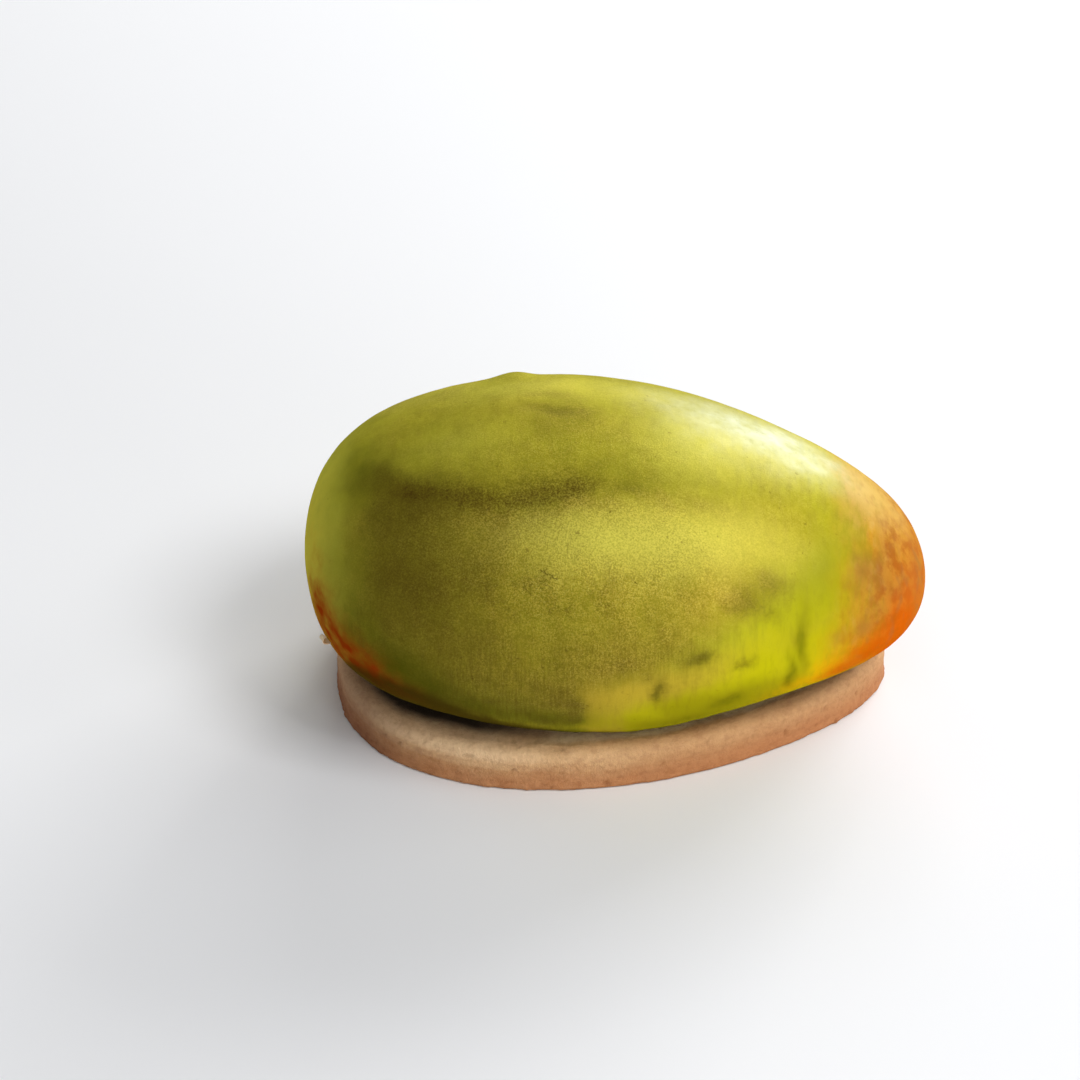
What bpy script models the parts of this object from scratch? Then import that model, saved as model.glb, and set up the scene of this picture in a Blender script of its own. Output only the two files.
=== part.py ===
"""Mango-shaped moulded dessert resting on a flat egg-shaped biscuit.

The part stands on the plane z = 0, its long axis is X (blunt end at -X,
narrow end at +X), and the plane y = 0 is its middle.  Metres, +Z up.
"""
import math

import bmesh
import bpy

# ---------------------------------------------------------------- dimensions
# mango body
LENGTH = 0.105            # tip to tip along X
HALF_WIDTH = 0.034        # half width of the middle section
RISE = 0.0297             # middle section, above its widest line
DROP = 0.0252             # middle section, below its widest line
WIDEST_Z = 0.0246         # height of the widest line at mid length
WIDEST_TILT = -0.0028     # the widest line drops by this much towards the +X tip
# Egg rule: t runs from -1 at the blunt end to +1 at the narrow end
TAPER = 0.15              # fullness gained towards the blunt end, lost towards the other
BLUNT, NARROW = 0.20, 0.12   # extra fullness right at each end, which squares it off
FLANK = 0.02              # how far the flanks are drawn in between middle and ends
HEEL = 0.30               # extra fullness under the blunt end
KEEL = 0.05               # how far the underside rises towards the narrow end
SCOOP = 0.08              # how far it is drawn up half way between middle and narrow end
SEGMENTS = 72
RINGS = 44

# small raised blemish on the crown
NUB_X, NUB_Y = -0.0165, 0.0090
NUB_HEIGHT, NUB_SIGMA = 0.0007, 0.0026

# long shallow hollow across the front shoulder
DIP_X0, DIP_X1 = -0.036, 0.006
DIP_ANGLE = 1.02          # radians above the widest line, on the front
DIP_DEPTH, DIP_SIGMA = 0.0005, 0.0030

# biscuit, whose outline follows the same egg rule
BISCUIT_LENGTH = 0.094
BISCUIT_HALF_WIDTH = 0.0315
BISCUIT_TAPER = 0.25
BISCUIT_BLUNT, BISCUIT_NARROW = 0.12, -0.08
BISCUIT_X = -0.0007
BISCUIT_Y = 0.0015
BISCUIT_THICK = 0.0075
TOP_ROUND = 0.0024
OUTLINE_POINTS = 88

REST_GAP = 0.0003         # the mango rests on the biscuit with this much air


# ------------------------------------------------------------------- helpers
def fullness(t, taper, blunt, narrow, flank=0.0):
    """Egg rule: size of the section at t, as a share of the middle section."""
    end = blunt if t < 0.0 else narrow
    return 1.0 - taper * t + end * t ** 4 - 4.0 * flank * t * t * (1.0 - t * t)


def under_fullness(t):
    """The same for the underside, with its heel, its rising keel and its scoop."""
    if t < 0.0:
        extra = -HEEL * t ** 3
    else:
        extra = -KEEL * t * t - SCOOP * math.sin(math.pi * t) ** 2
    return fullness(t, TAPER, BLUNT, NARROW, FLANK) + extra


def clear_scene():
    for obj in list(bpy.data.objects):
        bpy.data.objects.remove(obj, do_unlink=True)


def new_collection(name):
    col = bpy.data.collections.new(name)
    bpy.context.scene.collection.children.link(col)
    return col


def material(name, colour, roughness, metallic=0.0):
    mat = bpy.data.materials.new(name)
    mat.use_nodes = True
    bsdf = mat.node_tree.nodes["Principled BSDF"]
    bsdf.inputs["Base Color"].default_value = (*colour, 1.0)
    bsdf.inputs["Roughness"].default_value = roughness
    bsdf.inputs["Metallic"].default_value = metallic
    mat.diffuse_color = (*colour, 1.0)
    return mat


def shape_point(t, cos_a, sin_a):
    """Point of the mango for a unit-sphere point (t, cos_a, sin_a)."""
    full = fullness(t, TAPER, BLUNT, NARROW, FLANK)
    x = 0.5 * LENGTH * t
    y = HALF_WIDTH * full * cos_a
    if sin_a >= 0.0:
        z = RISE * full * sin_a
    else:
        z = DROP * under_fullness(t) * sin_a
    z += WIDEST_Z + WIDEST_TILT * t
    return x, y, z


# --------------------------------------------------------------------- model
def build_mango(col, cutters):
    mesh = bpy.data.meshes.new("mango")
    bm = bmesh.new()
    bmesh.ops.create_uvsphere(bm, u_segments=SEGMENTS, v_segments=RINGS, radius=1.0)
    for v in bm.verts:
        # the sphere's own poles become the two ends of the mango
        t, cos_a, sin_a = -v.co.z, v.co.y, v.co.x
        t = max(-1.0, min(1.0, t))
        x, y, z = shape_point(t, cos_a, sin_a)
        if sin_a > 0.0:
            # raised nub, as a soft bump lifted straight up
            d2 = (x - NUB_X) ** 2 + (y - NUB_Y) ** 2
            z += NUB_HEIGHT * math.exp(-d2 / (2.0 * NUB_SIGMA ** 2))
            # shallow hollow that runs along the front shoulder
            if y < 0.0 and DIP_X0 - 0.02 < x < DIP_X1 + 0.02:
                angle = math.atan2(sin_a, -cos_a)
                across = (angle - DIP_ANGLE) * 0.5 * (RISE + HALF_WIDTH)
                mid = 0.5 * (DIP_X0 + DIP_X1)
                along = (x - mid) / (0.5 * (DIP_X1 - DIP_X0))
                depth = DIP_DEPTH * math.exp(-along ** 4) * math.exp(-across ** 2 / (2.0 * DIP_SIGMA ** 2))
                y += depth * math.cos(angle)
                z -= depth * math.sin(angle)
        v.co = (x, y, z)
    bmesh.ops.recalc_face_normals(bm, faces=bm.faces)
    bm.to_mesh(mesh)
    bm.free()
    mesh.shade_smooth()
    mango = bpy.data.objects.new("mango", mesh)
    col.objects.link(mango)
    mesh.materials.append(material("mango_skin", (0.352, 0.283, 0.026), 0.55))

    # flat spot on the underside, where the body rests on the biscuit
    floor = BISCUIT_THICK + REST_GAP
    depth = 0.030
    box = bpy.data.meshes.new("rest_cut")
    bm = bmesh.new()
    bmesh.ops.create_cube(bm, size=1.0)
    for v in bm.verts:
        v.co = (v.co.x * LENGTH * 1.3, v.co.y * HALF_WIDTH * 3.0,
                v.co.z * depth + floor - 0.5 * depth)
    bm.to_mesh(box)
    bm.free()
    cutter = bpy.data.objects.new("rest_cut", box)
    cutters.objects.link(cutter)
    cutter.hide_render = True
    cutter.display_type = 'WIRE'
    cut = mango.modifiers.new("flat_spot", 'BOOLEAN')
    cut.operation = 'DIFFERENCE'
    cut.solver = 'EXACT'
    cut.object = cutter
    return mango


def build_biscuit(col):
    curve = bpy.data.curves.new("biscuit_outline", 'CURVE')
    curve.dimensions = '2D'
    curve.fill_mode = 'BOTH'
    curve.extrude = 0.5 * BISCUIT_THICK
    spline = curve.splines.new('POLY')
    spline.points.add(OUTLINE_POINTS - 1)
    for i in range(OUTLINE_POINTS):
        u = 2.0 * math.pi * i / OUTLINE_POINTS
        t = math.cos(u)
        half = BISCUIT_HALF_WIDTH * math.sin(u) * fullness(t, BISCUIT_TAPER, BISCUIT_BLUNT, BISCUIT_NARROW)
        spline.points[i].co = (0.5 * BISCUIT_LENGTH * t, half, 0.0, 1.0)
    spline.use_cyclic_u = True
    outline = bpy.data.objects.new("biscuit_outline", curve)
    col.objects.link(outline)
    outline.location = (BISCUIT_X, BISCUIT_Y, 0.5 * BISCUIT_THICK)

    # made a mesh, so that its upper rim can be rounded
    bpy.context.view_layer.update()
    evaluated = outline.evaluated_get(bpy.context.evaluated_depsgraph_get())
    mesh = bpy.data.meshes.new_from_object(evaluated)
    mesh.name = "biscuit_base"
    biscuit = bpy.data.objects.new("biscuit_base", mesh)
    biscuit.matrix_world = outline.matrix_world.copy()
    col.objects.link(biscuit)
    bpy.data.objects.remove(outline, do_unlink=True)
    bm = bmesh.new()
    bm.from_mesh(mesh)
    bmesh.ops.remove_doubles(bm, verts=bm.verts, dist=0.00002)
    # one flat face on top and one below, so that the rim rounds evenly
    bmesh.ops.dissolve_limit(bm, angle_limit=0.001, verts=bm.verts, edges=bm.edges)
    bmesh.ops.recalc_face_normals(bm, faces=bm.faces)
    top = 0.5 * BISCUIT_THICK
    weights = bm.edges.layers.float.new("bevel_weight_edge")
    for e in bm.edges:
        if all(abs(v.co.z - top) < 1e-6 for v in e.verts) and len(e.link_faces) == 2 \
                and any(abs(f.normal.z) < 0.5 for f in e.link_faces):
            e[weights] = 1.0
    bm.to_mesh(mesh)
    bm.free()
    bevel = biscuit.modifiers.new("rounded_rim", 'BEVEL')
    bevel.limit_method = 'WEIGHT'
    bevel.width = TOP_ROUND
    bevel.segments = 4
    mesh.materials.clear()
    mesh.materials.append(material("baked_biscuit", (0.428, 0.223, 0.102), 0.9))
    mesh.shade_smooth()
    mesh.set_sharp_from_angle(angle=math.radians(35))
    return biscuit


def main():
    clear_scene()
    col = new_collection("mango_dessert")
    cutters = new_collection("cutters")
    build_mango(col, cutters)
    build_biscuit(col)


main()
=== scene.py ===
"""Mango-shaped moulded dessert, airbrushed and gold-dusted, on a baked egg-shaped biscuit.

Both bodies are rebuilt as fine meshes inside the space of their plain solids.
Lengths inside the helpers are millimetres; meshes are written in metres.
"""

import math

import bpy
import numpy as np
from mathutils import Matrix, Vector


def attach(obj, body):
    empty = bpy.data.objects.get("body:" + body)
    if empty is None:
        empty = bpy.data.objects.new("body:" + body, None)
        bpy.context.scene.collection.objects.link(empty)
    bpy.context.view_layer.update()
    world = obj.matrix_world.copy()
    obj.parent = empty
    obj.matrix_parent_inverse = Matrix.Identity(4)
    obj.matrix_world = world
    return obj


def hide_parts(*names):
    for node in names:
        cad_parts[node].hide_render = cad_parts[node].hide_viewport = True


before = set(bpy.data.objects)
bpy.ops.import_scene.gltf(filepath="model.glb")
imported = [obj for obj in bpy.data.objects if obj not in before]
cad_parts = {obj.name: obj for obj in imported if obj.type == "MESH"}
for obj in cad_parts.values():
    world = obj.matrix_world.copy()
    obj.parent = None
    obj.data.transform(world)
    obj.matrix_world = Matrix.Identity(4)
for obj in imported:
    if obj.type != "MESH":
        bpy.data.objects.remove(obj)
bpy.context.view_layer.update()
MM = 0.001


# --------------------------------------------------------------------- noise
class Noise:
    """Seeded gradient noise on a lattice of cells one unit wide, about -1 to 1."""

    def __init__(self, seed):
        rng = np.random.RandomState(seed)
        self.p = rng.permutation(256)
        g = rng.normal(size=(256, 3))
        self.g = g / np.linalg.norm(g, axis=1, keepdims=True)

    def __call__(self, q):
        i = np.floor(q).astype(np.int64)
        f = q - i
        u = f * f * f * (f * (f * 6 - 15) + 10)
        out = np.zeros(len(q))
        for dx in (0, 1):
            wx = u[:, 0] if dx else 1 - u[:, 0]
            hx = self.p[(i[:, 0] + dx) & 255]
            for dy in (0, 1):
                wy = u[:, 1] if dy else 1 - u[:, 1]
                hy = self.p[(hx + i[:, 1] + dy) & 255]
                for dz in (0, 1):
                    wz = u[:, 2] if dz else 1 - u[:, 2]
                    g = self.g[self.p[(hy + i[:, 2] + dz) & 255]]
                    d = (f[:, 0] - dx) * g[:, 0] + (f[:, 1] - dy) * g[:, 1] + (f[:, 2] - dz) * g[:, 2]
                    out += wx * wy * wz * d
        return out * 1.6


def fbm(p, wavelength, seed, octaves=3, gain=0.5, stretch=(1.0, 1.0, 1.0)):
    total = np.zeros(len(p))
    amp, norm = 1.0, 0.0
    q = p / (wavelength * np.array(stretch))
    for k in range(octaves):
        total += amp * Noise(seed + 31 * k)(q + 17.3 * k)
        norm += amp
        amp *= gain
        q = q * 2.03
    return total / norm


def smooth(a, b, v):
    t = np.clip((v - a) / (b - a), 0.0, 1.0)
    return t * t * (3 - 2 * t)


def fullness(t, taper, blunt, narrow, flank=0.0):
    """Egg rule: size of the section at t, as a share of the middle section."""
    return 1 - taper * t + np.where(t < 0, blunt, narrow) * t ** 4 - 4 * flank * t * t * (1 - t * t)


def blobs(p, spots):
    """Union of soft spots: (x, y, z, reach along X, reach across, strength) in mm."""
    out = np.zeros(len(p))
    for x, y, z, rx, ra, w in spots:
        d2 = ((p[:, 0] - x) / rx) ** 2 + ((p[:, 1] - y) ** 2 + (p[:, 2] - z) ** 2) / ra ** 2
        out = 1 - (1 - out) * (1 - np.clip(w * np.exp(-0.5 * d2), 0, 1))
    return out


def srgb(r, g, b):
    def lin(c):
        c /= 255.0
        return c / 12.92 if c <= 0.04045 else ((c + 0.055) / 1.055) ** 2.4
    return (lin(r), lin(g), lin(b), 1.0)


def mesh_object(name, verts, faces):
    me = bpy.data.meshes.new(name)
    me.from_pydata((verts * MM).tolist(), [], faces)
    me.update()
    me.shade_smooth()
    ob = bpy.data.objects.new(name, me)
    bpy.context.scene.collection.objects.link(ob)
    return ob


def add_mask(ob, name, values):
    at = ob.data.attributes.new(name, 'FLOAT', 'POINT')
    at.data.foreach_set("value", np.asarray(values, np.float32))


def ring_faces(rows, cols, start=0):
    faces = []
    for i in range(rows - 1):
        for j in range(cols):
            k = (j + 1) % cols
            a, b = start + i * cols + j, start + i * cols + k
            faces.append((a, b, b + cols, a + cols))
    return faces


# --------------------------------------------------------------- mango shape
LENGTH, HALF_WIDTH, RISE, DROP = 105.0, 34.0, 29.7, 25.2
WIDEST_Z, WIDEST_TILT = 24.6, -2.8
TAPER, BLUNT, NARROW, FLANK = 0.15, 0.20, 0.12, 0.02
HEEL, KEEL, SCOOP = 0.30, 0.05, 0.08
REST_Z = 7.62
ROWS, COLS = 337, 282


def mango_base(t, ang):
    """ang in degrees round the long axis: 0 front, 90 top, 180 back, -90 and 270 below."""
    w = np.sqrt(np.clip(1 - t * t, 0, None))
    full = fullness(t, TAPER, BLUNT, NARROW, FLANK)
    under = full + np.where(t < 0, -HEEL * t ** 3, -KEEL * t * t - SCOOP * np.sin(np.pi * t) ** 2)
    a = np.radians(ang)
    ca, sa = np.cos(a), np.sin(a)
    high = np.where(sa >= 0, RISE * full, DROP * under)
    return np.stack([0.5 * LENGTH * t + 0 * a, -HALF_WIDTH * full * w * ca,
                     high * w * sa + WIDEST_Z + WIDEST_TILT * t], -1)


def crease_angle(x):
    reach = np.where(x < -17.3, 17.0, 11.0)
    return (58.6 + 7.5 * (1 - np.exp(-((x + 17.3) / reach) ** 2))
            + 0.20 * np.clip(x - 2, 0, None) + 0.10 * np.clip(-34 - x, 0, None))


def curled_flake(foot, start):
    """A scrap of coating that has lifted and curled: a thin bent strip, closed all round."""
    rows, cols, thick = 13, 7, 0.22
    outward = np.array([-0.86, -0.42, -0.28])
    outward /= np.linalg.norm(outward)
    along = np.cross(outward, [0.0, 0.0, 1.0])
    along /= np.linalg.norm(along)
    up = np.cross(along, outward)
    if up[2] < 0:
        up = -up
    sheets = []
    for side in (0.5, -0.5):
        for i in range(rows):
            s = i / (rows - 1)
            bend = 2.5 * s
            centre_out = -0.5 + 1.50 * math.sin(bend)
            centre_up = 0.85 * (1 - math.cos(bend))
            half = 1.05 * (1 - 0.40 * s * s) * (1 - 0.25 * (1 - s))
            normal = -math.sin(bend) * outward + math.cos(bend) * up
            for j in range(cols):
                q = 2 * j / (cols - 1) - 1
                ragged = 0.10 * math.sin(5.0 * s + 2.3 * q) + 0.06 * math.cos(9.0 * q + 4 * s)
                point = (foot + outward * (centre_out + 0.12 * q * q + ragged * s) + up * (centre_up + 0.14 * q * q)
                         + along * half * q + normal * side * thick * (1 - 0.5 * s) * (1 - 0.35 * q * q))
                sheets.append(point)
    per = rows * cols

    def at(sheet, i, j):
        return start + sheet * per + i * cols + j
    faces = []
    for i in range(rows - 1):
        for j in range(cols - 1):
            faces.append((at(0, i, j), at(0, i, j + 1), at(0, i + 1, j + 1), at(0, i + 1, j)))
            faces.append((at(1, i, j), at(1, i + 1, j), at(1, i + 1, j + 1), at(1, i, j + 1)))
    for i in range(rows - 1):
        faces.append((at(0, i, 0), at(0, i + 1, 0), at(1, i + 1, 0), at(1, i, 0)))
        faces.append((at(0, i, cols - 1), at(1, i, cols - 1), at(1, i + 1, cols - 1), at(0, i + 1, cols - 1)))
    for j in range(cols - 1):
        faces.append((at(0, 0, j), at(1, 0, j), at(1, 0, j + 1), at(0, 0, j + 1)))
        faces.append((at(0, rows - 1, j), at(0, rows - 1, j + 1), at(1, rows - 1, j + 1), at(1, rows - 1, j)))
    v = np.array(sheets)
    # signed volume tells whether the faces look outwards
    volume = 0.0
    for f in faces:
        a, b, c, d = (v[k - start] - foot for k in f)
        volume += np.dot(a, np.cross(b, c)) + np.dot(a, np.cross(c, d))
    if volume < 0:
        faces = [f[::-1] for f in faces]
    return v, faces


def build_mango():
    s = np.pi * np.arange(1, ROWS + 1) / (ROWS + 1)
    deg = -90.0 + 360.0 * np.arange(COLS) / COLS
    t = np.repeat(-np.cos(s), COLS)
    ang = np.tile(deg, ROWS)
    p = mango_base(t, ang)
    x = p[:, 0]

    # outward normals of the plain shape
    g = p.reshape(ROWS, COLS, 3)
    du = np.gradient(g, axis=0)
    dv = np.roll(g, -1, 1) - np.roll(g, 1, 1)
    n = np.cross(dv, du).reshape(-1, 3)
    n /= np.linalg.norm(n, axis=1, keepdims=True) + 1e-12
    if (n * (p - np.array([0, 0, WIDEST_Z]))).sum() < 0:
        n = -n

    # warped copy of the position, so that painted edges wander
    warp = np.stack([fbm(p, 7.0, 11, 3), fbm(p, 7.0, 12, 3), fbm(p, 7.0, 13, 3)], -1)
    q = p + 1.6 * warp
    qx = q[:, 0]
    lump = fbm(p, 26.0, 1, 2)
    mid = fbm(p, 9.0, 2, 3)
    fine = fbm(p, 3.0, 3, 3)

    # --- crease along the front shoulder
    per_degree = np.radians(1.0) * 0.5 * (RISE + HALF_WIDTH)
    wander = 0.40 * fbm(p, 6.0, 21, 3)
    across = (ang - crease_angle(x)) * per_degree + wander
    run = smooth(-41.0, -34.0, x) * (1 - 0.72 * smooth(-8.0, 2.0, x)) * (1 - smooth(6.0, 19.0, x))
    run = run * (0.88 + 0.22 * fbm(p, 5.0, 22, 2))
    crease_line = run * np.exp(-0.5 * (across / 1.1) ** 2)
    crease_band = run * np.exp(-0.5 * (across / 2.9) ** 2)

    # --- dents and the raised nub on the crown
    nub = np.exp(-0.5 * (((x + 17.2) / 2.5) ** 2 + ((p[:, 1] - 17.2) / 2.2) ** 2)) * (ang > 60)
    curve_y = 3.0 + 0.035 * (x + 11) ** 2 - 0.20 * (x + 11)
    wrinkle = np.exp(-0.5 * (((x + 10.5) / 3.6) ** 2 + ((p[:, 1] - curve_y + 1.6) / 0.8) ** 2)) * (ang > 60)
    wrinkle_lip = np.exp(-0.5 * (((x + 10.0) / 3.4) ** 2 + ((p[:, 1] - curve_y - 0.6) / 0.9) ** 2)) * (ang > 60)
    pits = blobs(p, [(-17.2, -28.2, 41.1, 0.35, 0.35, 0.7),
                     (-24.0, -26.2, 42.0, 0.35, 0.35, 0.5), (2.2, -26.9, 43.0, 0.4, 0.4, 0.4),
                     (-31.5, -21.5, 42.5, 0.4, 0.4, 0.5), (9.0, -30.3, 33.5, 0.4, 0.4, 0.5),
                     (-3.0, 24.0, 45.0, 0.5, 0.5, 0.8), (-26.0, 20.0, 46.5, 0.5, 0.5, 0.8),
                     (20.0, 20.0, 39.0, 0.45, 0.45, 0.7), (-5.0, 33.5, 30.0, 0.5, 0.5, 0.8)])

    d = 0.24 * lump + 0.10 * mid + 0.030 * fine
    d += -0.20 * crease_line - 0.32 * crease_band
    d += 0.95 * nub - 0.13 * wrinkle + 0.06 * wrinkle_lip - 0.18 * pits
    # velvet coat a little thicker and knobblier towards the lower edge
    low = 1 - smooth(9.0, 17.0, p[:, 2])
    d += low * 0.16 * fbm(p, 4.0, 5, 2)
    v = p + n * d[:, None]

    # flat spot underneath with a softly rounded edge
    k = 0.22
    edge = REST_Z + 0.10 * fbm(np.c_[p[:, :2], 0 * x], 6.0, 6, 2)
    z = v[:, 2] - edge
    v[:, 2] = edge + np.where(z > 12 * k, z, k * np.log1p(np.exp(np.clip(z / k, -40, 12))))

    ends = []
    for sign in (-1.0, 1.0):
        ends.append(mango_base(np.array([sign]), np.array([0.0]))[0])
    v = np.concatenate([v, np.array(ends)])
    flake, flake_faces = curled_flake(np.array([-48.2, -14.0, 18.4]), len(v))
    v = np.concatenate([v, flake])
    faces = ring_faces(ROWS, COLS)
    a, b = ROWS * COLS, ROWS * COLS + 1
    last = (ROWS - 1) * COLS
    for j in range(COLS):
        m = (j + 1) % COLS
        faces.append((a, m, j))
        faces.append((b, last + j, last + m))
    faces = [f[::-1] for f in faces] + flake_faces
    ob = mesh_object("mango_body", v, faces)

    # ------------------------------------------------------ painted zones
    def add(name, values, on_flake=0.0):
        values = np.clip(values, 0, 1)
        e0, e1 = values[:COLS].mean(), values[last:].mean()
        add_mask(ob, name, np.concatenate([values, [e0, e1], np.full(len(flake), on_flake)]))

    add("flake", 0 * x, 1.0)
    add("ends", smooth(0.90, 0.97, np.abs(t)))

    # gold dust was sprayed at the front face, less over the crown and the back;
    # its lower edge climbs towards the narrow end
    ang_q = ang + 5.0 * fbm(p, 8.0, 14, 3) + 2.5 * fbm(p, 2.4, 15, 2)
    lower = 4 + np.where(x > 5.3, 1.6, 2.3) * (x - 5.3)
    lower = np.clip(lower, -46, 60)
    crest = crease_angle(x)
    # bright dust starts a little below the crease, sharply in the middle and softly at both ends
    soft = 3.0 + 14.0 * smooth(4.0, 22.0, x) + 10.0 * smooth(-20.0, -36.0, x)
    above = smooth(crest - 4.0 - soft, crest - 2.0 + 0.3 * soft, ang_q)
    front = smooth(lower - 14, lower + 12, ang_q) * (1 - above)
    patch = 0.72 + 0.55 * fbm(p, 15.0, 16, 3) + 0.30 * fine
    dust = 0.30 + 0.12 * lump + 0.14 * mid
    dust *= np.where(ang < 90, 0.25 + 0.75 * smooth(lower - 16, lower + 6, ang_q), 1.0)
    dust += front * 0.52 * patch * (1 - 0.65 * smooth(18, 38, qx))
    dust *= 1 - 0.80 * smooth(28, 43, qx)
    dust *= smooth(-52.0, -36.0, qx)
    # painted light: bright patches where the lights fall on the upper front and along the crown
    add("painted_light_patch", blobs(q, [(-3.0, -23.3, 46.3, 11.0, 3.6, 0.80), (12.0, -21.8, 44.2, 10.0, 3.8, 0.56),
                          (27.0, -18.5, 39.5, 7.0, 3.3, 0.24), (-11.0, -21.5, 48.0, 6.0, 2.2, 0.25),
                          (-26.0, -5.0, 53.0, 6.0, 3.5, 0.18), (13.0, -8.0, 50.6, 6.0, 3.5, 0.35),
                          (13.0, -1.0, 50.5, 7.0, 4.5, 0.35), (-6.0, 10.5, 53.0, 14.0, 3.5, 0.40),
                          (19.3, -17.0, 44.8, 7.0, 3.3, 0.28)]))
    # where the sprayed grains are coarsest, and where they die away towards the narrow end
    coarse = blobs(q, [(-12.0, -23.5, 45.5, 14.0, 8.0, 1.0), (8.0, -22.0, 43.5, 9.0, 5.0, 0.6),
                       (-3.0, -9.5, 53.6, 12.0, 5.0, 0.45), (-24.0, -8.5, 52.8, 8.0, 4.0, 0.3),
                       (-14.0, 22.0, 42.0, 16.0, 10.0, 0.6)])
    add("coarse", (0.12 + 0.88 * coarse) * (1 - 0.7 * smooth(8.0, 20.0, x)))
    add("left_rim", 1 - smooth(-51.0, -40.5, qx + 0.10 * (p[:, 2] - 30)))
    # painted highlight: a pale, near-white colour on the shoulder of the narrow end, where the coat is also smoother
    painted_highlight = blobs(q, [(17.0, 6.5, 48.0, 7.0, 4.5, 0.56), (24.5, 6.0, 46.3, 6.0, 4.2, 0.84),
                     (31.0, 4.2, 43.9, 5.0, 3.8, 0.72), (36.5, 1.5, 41.0, 3.0, 3.0, 0.2),
                     (10.0, 10.0, 49.6, 6.0, 4.0, 0.18), (14.0, 0.0, 49.5, 6.0, 5.0, 0.07),
                     (23.5, -2.0, 46.8, 6.0, 4.0, 0.12)])
    add("painted_highlight", painted_highlight * (0.85 + 0.5 * fine))
    # painted shade along the crease and in the dents, pits and wrinkle
    add("crease", 1.05 * crease_band * (0.80 + 0.30 * fine) + 0.38 * crease_line)
    add("dent", 0.9 * pits + 0.55 * wrinkle + blobs(q, [(-31.0, -23.5, 43.0, 5.0, 3.6, 0.35)]))

    green = blobs(q, [(-46.5, -17.0, 33.0, 3.0, 6.0, 0.30), (-43.5, -4.0, 47.0, 3.0, 4.0, 0.45),
                      (-42.0, -24.0, 28.5, 3.4, 4.5, 0.65), (-36.5, -27.5, 23.5, 4.8, 4.4, 1.0),
                      (-31.0, -29.0, 20.5, 5.5, 3.8, 1.0), (-23.0, -30.5, 17.0, 5.5, 2.8, 0.80),
                      (-30.0, -27.5, 16.0, 5.0, 3.0, 0.80),
                      (-12.0, -31.9, 15.5, 6.5, 2.8, 0.75), (18.9, -28.9, 16.8, 2.6, 1.4, 0.65),
                      (14.0, -28.5, 12.5, 8.0, 2.0, 0.45), (30.8, -25.0, 26.0, 0.7, 4.2, 0.65),
                      (28.8, -25.8, 20.5, 0.6, 3.2, 0.70), (34.5, -18.0, 37.0, 3.0, 4.0, 0.25),
                      (-44.8, -22.0, 26.5, 1.6, 2.4, 0.55), (-33.0, -27.5, 18.0, 1.6, 1.4, 0.5),
                      (33.5, -22.5, 28.0, 4.0, 5.0, 0.14),
                      (-43.0, 18.0, 36.0, 4.5, 8.0, 0.5), (-22.0, 30.0, 20.0, 9.0, 6.0, 0.6),
                      (12.0, 28.0, 16.0, 8.0, 4.0, 0.6)])
    add("green", green)
    lime = blobs(q, [(25.0, -27.4, 24.0, 5.0, 6.0, 0.95), (37.6, -18.0, 33.0, 2.4, 5.5, 0.9),
                     (20.5, -29.5, 20.0, 6.0, 4.0, 0.85), (32.5, -22.5, 30.0, 5.0, 6.0, 0.6),
                     (14.0, -31.0, 15.0, 7.0, 3.5, 0.5), (0.5, -31.5, 14.5, 7.0, 4.0, 0.5),
                     (26.0, 25.0, 24.0, 9.0, 8.0, 0.7), (8.0, 32.0, 20.0, 10.0, 7.0, 0.4)])
    lime = np.maximum(lime, 0.9 * smooth(-2.0, 3.0, qx + 1.2 * fine) * (1 - smooth(15.0, 21.0, q[:, 2] - 0.35 * x)))
    # more lime on the upper right, straw yellow along the lower edge up to a definite left border
    lime = np.maximum(lime, 0.40 * smooth(6.0, 24.0, qx) * smooth(28.0, 38.0, q[:, 2]))
    add("lime", lime)
    straw = (smooth(-7.5, -4.0, qx + 1.8 * mid + 1.5 * fine) * (1 - smooth(22.0, 29.0, q[:, 2] - 0.10 * x))
             * (ang < 90))
    add("straw", 0.85 * straw)
    yellow = blobs(q, [(36.5, -21.2, 18.5, 3.4, 4.2, 0.9), (31.0, -24.0, 15.5, 4.5, 2.5, 0.7),
                       (42.7, -8.0, 37.0, 1.0, 4.0, 0.9), (41.0, -16.5, 27.5, 2.2, 4.5, 0.5),
                       (38.0, 16.0, 26.0, 4.0, 8.0, 0.8), (-50.5, -6.0, 40.0, 1.5, 8.0, 0.10)])
    add("yellow", yellow)
    tip = (0.45 * smooth(33.0, 40.0, qx + 2.0 * mid - 0.12 * np.clip(p[:, 2] - 36, 0, None))
           + 0.55 * smooth(39.0, 46.0, qx + 2.5 * mid + 0.05 * np.minimum(p[:, 2] - 25, 8) - 0.25 * np.clip(p[:, 2] - 36, 0, None)))
    add("tip", tip)
    # saturated orange low on the narrow end: partly the airbrushed colour, partly painted orange light reflected from
    # below
    orange_and_reflection = blobs(q, [(42.5, -18.3, 18.5, 4.2, 3.6, 0.95), (38.0, -20.5, 15.5, 3.5, 2.0, 0.8),
                     (48.0, -10.5, 21.0, 3.0, 5.5, 1.0), (45.5, -14.0, 17.0, 3.5, 4.0, 0.9),
                     (50.5, 0.0, 18.0, 3.0, 6.0, 0.9), (45.0, 12.0, 17.0, 4.5, 5.0, 0.9),
                     (34.0, 20.0, 13.0, 5.0, 3.0, 0.7)])
    add("orange_and_reflection", orange_and_reflection)
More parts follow.
